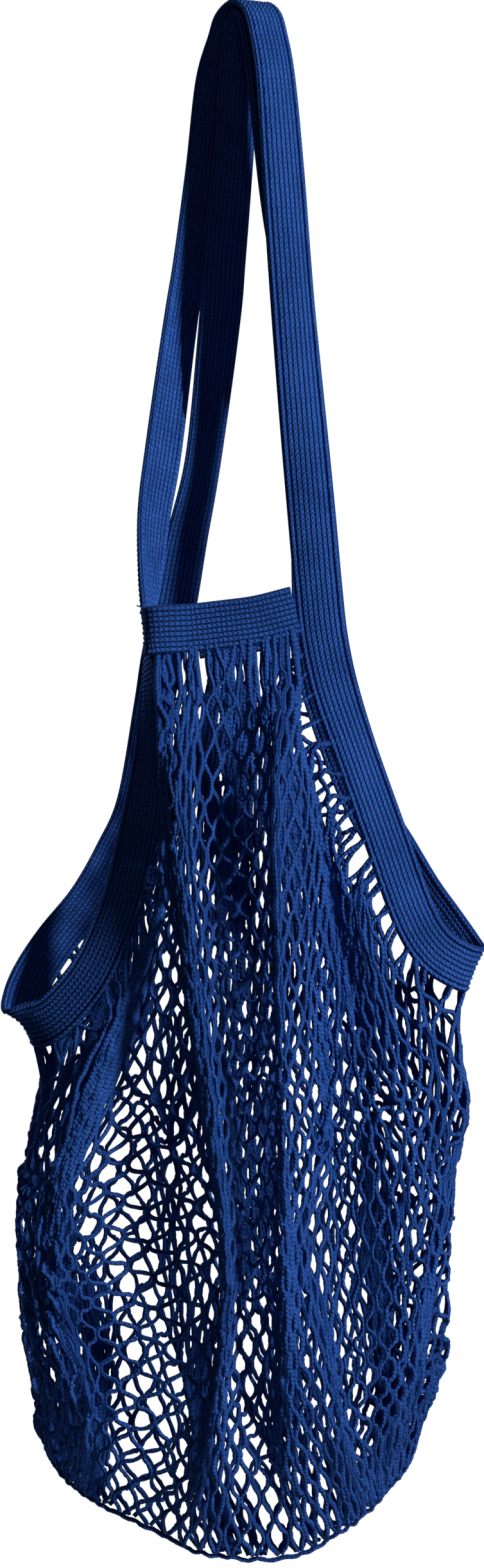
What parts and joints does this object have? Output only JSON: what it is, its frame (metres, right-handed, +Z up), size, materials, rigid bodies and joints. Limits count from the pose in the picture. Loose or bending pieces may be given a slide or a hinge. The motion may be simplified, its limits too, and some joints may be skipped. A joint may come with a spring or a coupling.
{
  "type": "mesh bag",
  "caption": "Knitted net shopping bag hanging by two long ribbed tape handles, with side scoops and narrow mouth bands.",
  "frame": {"origin": "where the handles hang: the underside of the inner handle's crown", "axes": "+Z up, along the hanging bag; -Y is the front; +X is to the right as seen from the front"},
  "size_m": [0.2513, 0.1062, 0.8102],
  "materials": {
    "ribbed_tape": "navy blue rib knitted cotton tape",
    "net_cord": "navy blue chain knitted cotton cord"
  },
  "bodies": {
    "root": {"handle_tape": "ribbed_tape", "front_mouth_band": "ribbed_tape", "back_mouth_band": "ribbed_tape", "net_body": "net_cord"}
  },
  "joints": []
}
